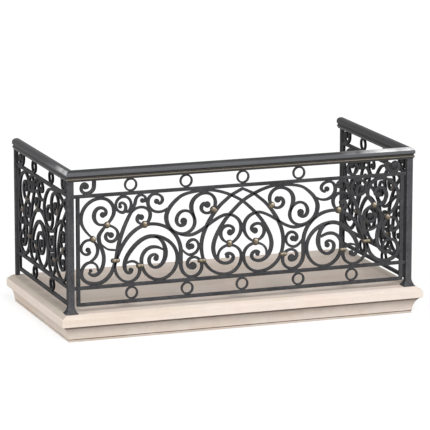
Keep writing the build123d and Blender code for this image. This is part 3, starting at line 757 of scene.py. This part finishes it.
class BALCONY_OT_stone(bpy.types.Operator):
    """Build the slab, the cove moulding and the base course"""
    bl_idname = "balcony.stone"
    bl_label = "Stone"

    def execute(self, context):
        _, colours = look(context.scene)
        slab_low, slab_high = corners("floor_slab")
        cove_low, cove_high = corners("cove_moulding")
        base_low, base_high = corners("base_course")
        half, _ = post_faces()
        lip = slab_high[0] - half
        cove_lip, base_lip = cove_high[0] - half, base_high[0] - half
        edge_drop, top_lip, drip = 27 * MM, 21 * MM, 6 * MM
        dressed = stone_finish(colours)
        # Two rows on the floor, 90 and 30 mm in from its edge, carry the edge of the grey: a little dusty
        # inside, painted shade on the side rims
        profile = [(top_lip - 0.09, slab_high[2]), (top_lip - 0.03, slab_high[2])]
        profile += quarter((top_lip, slab_high[2] - edge_drop), lip - top_lip, edge_drop, 12, 1.12)[::-1]
        profile += [(lip, slab_low[2] + drip), (cove_lip, slab_low[2]), (cove_lip - 0.02, slab_low[2])]
        edge = rounded(profile, 0.002)
        # Painted shade in dark brown on the drip under the slab
        soffit_shade = np.clip((lip - 0.001 - edge[:, 0]) / 0.012, 0, 1) * (edge[:, 1] < slab_low[2] + drip)
        inside = np.clip((top_lip - 0.03 - edge[:, 0]) / 0.05, 0, 1)
        upright = edge[:, 1] < slab_high[2] - edge_drop + 0.004
        # Painted shade: the rims and bevels of the sides are greyed fully, the front rim is left clean, and
        # the inner floor takes a little dusty grey
        dust_and_shade = (0.1 * inside, np.where(upright, 0.0, 1 - 0.9 * inside))
        stone_piece("dressed_floor_slab", "floor_slab", edge, dressed, soffit_shade * 0.9, 0.0, dust_and_shade)
        deep, rise = cove_lip - base_lip, cove_high[2] - cove_low[2]
        radius = (deep**2 + rise**2) / 2 / deep
        turn = np.linspace(2 * math.atan2(deep, rise), 0, 25)
        edge = np.stack([base_lip + radius * (1 - np.cos(turn)), cove_low[2] + radius * np.sin(turn)], -1)
        below, above = cove_high[2] - edge[:, 1], edge[:, 1] - cove_low[2]
        # Painted shade at the top of the cove under the slab, and a dark joint at its foot
        joint_stain_and_shade = np.clip(0.85 - below / 0.022, 0, 1) + np.clip(1 - above / 0.004, 0, 1)
        # Painted shade over the cove, darker towards its top under the slab
        cove_shade = 0.17 + 0.26 * (above / rise) ** 1.5
        stone_piece("dressed_cove_moulding", "cove_moulding", edge, dressed, joint_stain_and_shade, cove_shade)
        joint, foot = 0.003, base_lip - 0.003
        edge = rounded([(base_lip - 0.02, base_high[2]), (base_lip - 0.008, base_high[2]),
                        (base_lip - 0.008, base_high[2] - joint), (foot, base_high[2] - joint - 0.001),
                        (foot, base_low[2]), (foot - 0.02, base_low[2])], 0.0015)
        joint_stain_and_shade = np.clip((edge[:, 1] - (base_high[2] - joint - 0.0015)) / 0.001, 0, 1)
        stone_piece("dressed_base_course", "base_course", edge, dressed, 0.88 * joint_stain_and_shade, 0.32)
        return {"FINISHED"}


class BALCONY_OT_posts(bpy.types.Operator):
    """Forge the front posts with their flared feet and the posts at the wall"""
    bl_idname = "balcony.posts"
    bl_label = "Posts"

    def execute(self, context):
        sizes, colours = look(context.scene)
        finish = iron_finish(sizes, colours, "Forged posts", 1.2)
        for side in ("left", "right"):
            node = f"post_front_{side}"
            low, high = corners(node)
            middle, post = (low + high)[:2] / 2, (high - low)[0] / 2 - FOOT_SPREAD
            foot = post + FOOT_SPREAD
            flare = quarter((foot, FOOT_HEIGHT), -FOOT_SPREAD, FOOT_EDGE - FOOT_HEIGHT, 16, 1.4)[::-1]
            outline = [(foot - 0.001, 0), (foot, 0.001)] + flare
            rise = np.arange(0.1, high[2] - low[2] - 0.02, 0.05)
            outline = np.array(outline + [(post, z) for z in rise] + [(post, high[2] - low[2])])
            across, deep, corner, _ = rounded_section(32, 14.0)
            grid = np.zeros((len(outline), 32, 3))
            grid[..., 0] = middle[0] + outline[:, :1] * across[None]
            grid[..., 1] = middle[1] + outline[:, :1] * deep[None]
            grid[..., 2] = low[2] + outline[:, 1:]
            shell = Shell()
            # The face value is 0 on the sides of the post, which the iron finish paints in shade
            shell.add(grid, corner, np.clip((np.abs(deep) - 0.9) / 0.08, 0, 1))
            forge(shell, node, finish)
            shell = Shell()
            add_flat_bar(shell, *corners(f"wall_post_{side}"), "front", squareness=12.0)
            forge(shell, f"wall_post_{side}", finish)
        return {"FINISHED"}


class BALCONY_OT_rails(bpy.types.Operator):
    """Forge the upper, lower and bottom rails and the stiles"""
    bl_idname = "balcony.rails"
    bl_label = "Rails and stiles"

    def execute(self, context):
        sizes, colours = look(context.scene)
        finish = iron_finish(sizes, colours, "Flat bar")
        for side in SIDES:
            run = 0 if side == "front" else 1
            stile, inner = corners(f"stiles_{side}"), corners(f"bottom_rail_{side}")
            width = inner[0][run] - stile[0][run]
            for kind in ("upper", "bottom", "lower"):
                low, high = corners(f"{kind}_rail_{side}")
                spans = [(low[run], high[run])]
                if kind == "lower":
                    # The stiles part this rail into three
                    ends = low[run], stile[0][run], inner[0][run], inner[1][run], stile[1][run], high[run]
                    spans = zip(ends[::2], ends[1::2])
                low[2], high[2] = low[2] - RAIL_SWELL[kind][0], high[2] + RAIL_SWELL[kind][1]
                shell = Shell()
                for span in spans:
                    low[run], high[run] = span
                    add_flat_bar(shell, low, high, side)
                forge(shell, f"{kind}_rail_{side}", finish)
            shell = Shell()
            for start in (stile[0][run] - STILE_SWELL, stile[1][run] - width):
                a, b = stile[0].copy(), stile[1].copy()
                a[run], b[run] = start, start + width + STILE_SWELL
                add_flat_bar(shell, a, b, side)
            forge(shell, f"stiles_{side}", finish)
        return {"FINISHED"}


class BALCONY_OT_rings(bpy.types.Operator):
    """Bend the rings of the upper and lower bands, and the hook scrolls beside the posts"""
    bl_idname = "balcony.rings"
    bl_label = "Rings and hooks"

    def execute(self, context):
        sizes, colours = look(context.scene)
        finish = iron_finish(sizes, colours, "Bent rings")
        for side in SIDES:
            start, _, length, _ = panel(side)
            run, count = (0, 5) if side == "front" else (1, 2)
            for band in ("upper", "lower"):
                node = f"{band}_rings_{side}"
                low, high = corners(node)
                drawn_radius = (high[2] - low[2]) / 2
                places = np.linspace(low[run] + drawn_radius, high[run] - drawn_radius, count) - start[run]
                if side == "front":
                    places += np.array(RING_SHIFTS[band]) * MM
                # The swollen rails leave less room, though none lies over the upper band
                low[2] += RAIL_SWELL["upper" if band == "upper" else "bottom"][1]
                high[2] -= RAIL_SWELL["lower"][0] if band == "lower" else 0
                shell = Shell()
                for along in places:
                    middle, radius = (along, (low[2] + high[2]) / 2), (high[2] - low[2]) / 2
                    add_ring(shell, side, middle, radius, sizes.ring_bar, sizes.bar_depth)
                forge(shell, node, finish, flat=False)
            node = f"hook_scrolls_{side}"
            low, high = corners(node)
            stretch = np.array([1.0, (high[2] - low[2]) / MM / HOOK[0][1]])
            path = bar_path(HOOK, stretch, sizes.bar_spacing * 0.8)
            shell = Shell()
            for origin, flip in (((0.0, low[2]), 1), ((length, low[2]), -1)):
                add_bar(shell, side, path, origin, flip, sizes.bar_depth)
                add_eye(shell, side, HOOK_EYE[:2], HOOK_EYE[2], origin, flip, stretch, sizes.bar_depth)
            forge(shell, node, finish, flat=False)
        return {"FINISHED"}


class BALCONY_OT_scrolls(bpy.types.Operator):
    """Forge the scrollwork of the three panels"""
    bl_idname = "balcony.scrolls"
    bl_label = "Scrollwork"

    def execute(self, context):
        sizes, colours = look(context.scene)
        finish = iron_finish(sizes, colours, "Forged scrolls")
        for name in ("arch", "wheel", "crest", "heart", "corner"):
            scroll_piece([name], "front", f"{name}_scrolls_front", finish, sizes)
        for side in ("left", "right"):
            scroll_piece(["arch", "heart"], side, f"arch_scrolls_{side}", finish, sizes)
            scroll_piece(["wheel", "crest"], side, f"wheel_scrolls_{side}", finish, sizes)
            scroll_piece(["corner"], side, f"corner_scrolls_{side}", finish, sizes)
        return {"FINISHED"}


class BALCONY_OT_collars(bpy.types.Operator):
    """Cast the bronze collars that bind the scrolls"""
    bl_idname = "balcony.collars"
    bl_label = "Collars"

    def execute(self, context):
        sizes, colours = look(context.scene)
        finish = collar_finish(colours)
        for side in SIDES:
            shell = Shell()
            origin, stretch, flips = pattern_place(side)
            for x, y, heading, across in COLLARS:
                for flip in flips:
                    add_collar(shell, side, (x, y), heading, across, origin, flip, stretch, sizes)
            shell.piece(f"cast_collars_{side}", [f"collars_{side}"], "collar", finish, sharp=50)
        return {"FINISHED"}


def handrail_outline(height):
    """Half section of the handrail, out and up, with its curves rounded, and 1 where it is bronze."""
    foot, bead, neck, cap = 23 * MM, 34 * MM, 29 * MM, 36 * MM
    swell = np.linspace(-1.35, 1.35, 11)
    lower = [(0, 0), (foot, 0), (neck - 0.003, 4 * MM), (neck - 0.002, 9 * MM)]
    lower += [(neck + (bead - neck) * math.cos(a), (19.5 + 6 * math.sin(a)) * MM) for a in swell]
    throat = [(neck - 0.003 * math.sin(t * math.pi), (27 + 10 * t) * MM) for t in np.linspace(0, 1, 7)]
    rim = [(cap - 0.003, 41 * MM), (cap, 44 * MM)]
    crown = quarter((0, 58 * MM), cap, height - 58 * MM, 16)
    points = np.array(lower + throat + rim + crown)
    heights, shares = [0, 12, 15, 19.5, 24, 27, 36, 42, 46], [0.2, 0.3, 0.9, 1, 0.9, 0.3, 0.3, 0.2, 0]
    return points, np.interp(points[:, 1] / MM, heights, shares)


class BALCONY_OT_handrail(bpy.types.Operator):
    """Roll the moulded handrail in three mitred lengths"""
    bl_idname = "balcony.handrail"
    bl_label = "Handrail"

    def execute(self, context):
        sizes, colours = look(context.scene)
        finish = handrail_finish(sizes, colours)
        low, high = corners("handrail_front")
        half, bronze = handrail_outline(high[2] - low[2])
        out, up, bronze = (np.concatenate([row, sign * row[-2:0:-1]])
                           for row, sign in ((half[:, 0], -1), (half[:, 1], 1), (bronze, 1)))
        corner_x = np.mean(corners("upper_rail_right"), 0)[0]
        corner_y = np.mean(corners("upper_rail_front"), 0)[1]
        t = np.linspace(0, 1, 61)[:, None]
        runs = {
            "front": ((-corner_x - out) * (1 - t) + (corner_x + out) * t, corner_y - out[None] + 0 * t),
            "left": (-corner_x - out[None] + 0 * t, (corner_y - out) * (1 - t) + 0 * t),
            "right": (corner_x + out[None] + 0 * t, (corner_y - out) * (1 - t) + 0 * t),
        }
        # Painted reflections lie on the crown by the right corner and on the outer flank by the left one,
        # where the face value passes 1;
        # the side lengths are painted in shade, darker towards the wall, where the value is nearly 0
        crown, flank = up > 66 * MM, (out > 0.02) & (up > 50 * MM)
        painted_light = {
            "front": PANEL_LIGHT["front"] + np.clip((t - 0.78) / 0.15, 0, 1) * crown,
            "left": 0.06 - 0.05 * t + 2.0 * np.clip(1 - t / 0.4, 0, 1) * flank,
            "right": 0.06 - 0.05 * t + 0 * up,
        }
        for side, (x, y) in runs.items():
            shell = Shell()
            shell.add(np.stack([x, y, low[2] + up[None] + 0 * x], -1), bronze, painted_light[side])
            shell.piece(f"rolled_handrail_{side}", [f"handrail_{side}"], "handrail", finish, sharp=40)
        return {"FINISHED"}


def seen_rays(tree):
    """1 for the rays that show a surface to the camera, straight, mirrored or through glass."""
    paths = tree.nodes.new("ShaderNodeLightPath")
    camera, glossy, through = (Wire(tree, paths.outputs[name])
                               for name in ("Is Camera Ray", "Is Glossy Ray", "Is Transmission Ray"))
    return (camera + glossy + through).clamped()


class BALCONY_OT_stage(bpy.types.Operator):
    """Lay the pale floor, set the lamps and place the camera"""
    bl_idname = "balcony.stage"
    bl_label = "Stage"

    def execute(self, context):
        scene = context.scene
        floor_mesh = bpy.data.meshes.new("studio_floor")
        reach = 70.0
        around = [(-reach, -reach, 0), (reach, -reach, 0), (reach, reach, 0), (-reach, reach, 0)]
        floor_mesh.from_pydata(around, [], [(0, 1, 2, 3)])
        floor = bpy.data.objects.new("studio_floor", floor_mesh)
        scene.collection.objects.link(floor)
        f = Finish("Studio floor")
        f.set(Base_Color=(0.5, 0.5, 0.5), Roughness=0.9, Emission_Color=(1, 1, 1))
        glow = f.node("Emission", sockets={"Color": (1, 1, 1, 1), "Strength": 0.78})
        shade = f.node("BsdfDiffuse", sockets={"Color": (0.3, 0.3, 0.3, 1)})
        both = f.node("AddShader", sockets={0: shade, 1: glow})
        plain = Wire(f.tree, f.shader.outputs[0])
        shown = f.node("MixShader", sockets={0: seen_rays(f.tree), 1: plain, 2: both})
        f.tree.links.new(shown.socket, f.output.inputs["Surface"])
        floor_mesh.materials.append(f.material)
        world = bpy.data.worlds.new("Studio")
        world.use_nodes = True
        scene.world = world
        tree = world.node_tree
        tree.nodes.clear()
        sky = tree.nodes.new("ShaderNodeBackground")
        sky.inputs["Color"].default_value = (1, 1, 1, 1)
        plug(tree, sky.inputs["Strength"], 0.36 + 0.64 * seen_rays(tree))
        tree.links.new(sky.outputs[0], tree.nodes.new("ShaderNodeOutputWorld").inputs["Surface"])
        for name, strength, spread, tilt, turn in (("key", 2.3, 30, 54, 0), ("side fill", 1.35, 50, 75, -90)):
            lamp = bpy.data.lights.new(name, "SUN")
            lamp.energy, lamp.angle = strength, math.radians(spread)
            sun = bpy.data.objects.new(name, lamp)
            sun.rotation_euler = (math.radians(tilt), 0, math.radians(turn))
            scene.collection.objects.link(sun)
        # Place, turn and lens were fitted to the photograph
        eye = bpy.data.cameras.new("camera")
        eye.sensor_width, eye.lens = 36.0, 263.48
        eye.clip_end = 300.0
        camera = bpy.data.objects.new("camera", eye)
        camera.location = (-7.98420, -22.72207, 5.69227)
        heading, tilt, roll = (Matrix.Rotation(math.radians(angle), 3, axis)
                               for angle, axis in ((-19.981, "Z"), (90 - 11.985, "X"), (0.039, "Z")))
        camera.rotation_euler = (heading @ tilt @ roll).to_euler()
        scene.collection.objects.link(camera)
        scene.camera = camera
        scene.view_settings.view_transform = "Standard"
        return {"FINISHED"}


class BALCONY_PT_sidebar(bpy.types.Panel):
    bl_idname = "BALCONY_PT_sidebar"
    bl_label = "Wrought iron balcony"
    bl_space_type = "VIEW_3D"
    bl_region_type = "UI"
    bl_category = "Balcony"

    def draw(self, context):
        for group in look(context.scene):
            for name in group.__annotations__:
                self.layout.prop(group, name)
        for operator in OPERATORS:
            self.layout.operator(operator.bl_idname)


OPERATORS = (BALCONY_OT_stone, BALCONY_OT_posts, BALCONY_OT_rails, BALCONY_OT_rings, BALCONY_OT_scrolls,
             BALCONY_OT_collars, BALCONY_OT_handrail, BALCONY_OT_stage)
CLASSES = (BalconySizes, BalconyColours) + OPERATORS + (BALCONY_PT_sidebar,)


def register():
    for cls in CLASSES:
        bpy.utils.register_class(cls)
    bpy.types.Scene.balcony_sizes = bpy.props.PointerProperty(type=BalconySizes)
    bpy.types.Scene.balcony_colours = bpy.props.PointerProperty(type=BalconyColours)


def unregister():
    del bpy.types.Scene.balcony_sizes
    del bpy.types.Scene.balcony_colours
    for cls in reversed(CLASSES):
        bpy.utils.unregister_class(cls)


def main():
    register()
    for name in ("stone", "posts", "rails", "rings", "scrolls", "collars", "handrail", "stage"):
        getattr(bpy.ops.balcony, name)()


if __name__ == "__main__":
    main()
